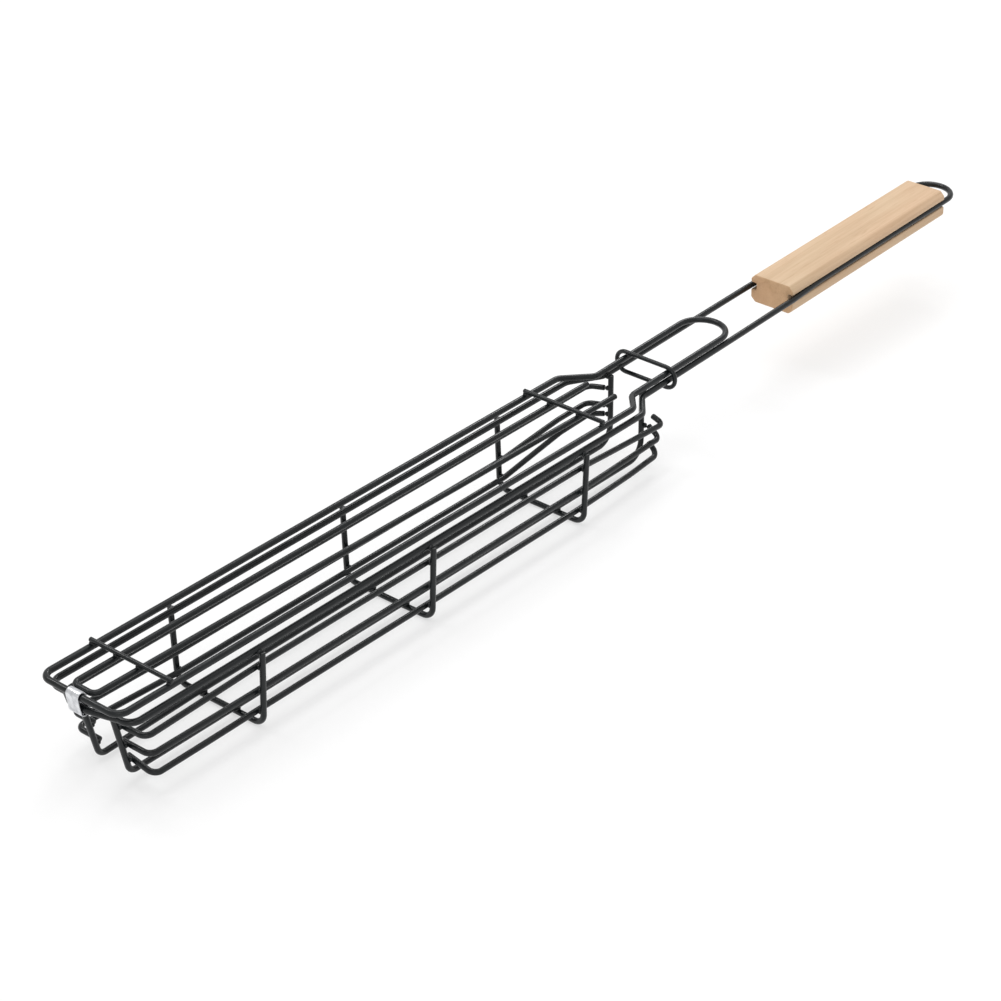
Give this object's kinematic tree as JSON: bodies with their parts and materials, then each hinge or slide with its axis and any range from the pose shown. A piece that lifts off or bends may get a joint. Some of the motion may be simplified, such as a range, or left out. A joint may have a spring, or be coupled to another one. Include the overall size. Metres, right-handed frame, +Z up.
{
  "type": "grill basket",
  "caption": "Long, narrow barbecue basket of black wire with a hinged wire lid, a sliding lock ring and a wooden grip with a hanging loop.",
  "frame": {"origin": "middle of the bounding box, on the surface that the basket stands on", "axes": "+X from the hinge end along the basket to the hanging loop, +Y to the left seen from the hinge end, +Z up"},
  "size_m": [0.568, 0.0516, 0.0483],
  "materials": {
    "black_coating": "dark semi-gloss coating on steel wire",
    "tinned_steel": "bright tinned sheet, slightly dented",
    "light_wood": "plain sanded light wood, straight grain"
  },
  "bodies": {
    "basket": {"basket_frame_wire": "black_coating", "bottom_rail_left": "black_coating", "bottom_rail_right": "black_coating", "rib_front": "black_coating", "rib_middle": "black_coating", "rib_rear": "black_coating", "side_wire_lower_left": "black_coating", "side_wire_lower_right": "black_coating", "side_wire_middle_left": "black_coating", "side_wire_middle_right": "black_coating", "side_wire_upper_left": "black_coating", "side_wire_upper_right": "black_coating", "hinge_clip": "tinned_steel", "wooden_grip": "light_wood"},
    "lid": {"lid_frame_wire": "black_coating", "lid_inner_wire": "black_coating", "lid_crossbar_front": "black_coating", "lid_crossbar_rear": "black_coating"},
    "lock_ring": {"lock_ring": "black_coating"}
  },
  "joints": [
    {"name": "lid_hinge", "type": "hinge", "parent": "basket", "child": "lid", "pos_m": [-0.2818, 0, 0.0402], "axis": [0, -1, 0], "range_deg": [0, 180]},
    {"name": "lock_ring_slide", "type": "slide", "parent": "basket", "child": "lock_ring", "axis": [0.9996, 0, 0.0279], "range_m": [-0.01, 0.09]}
  ]
}
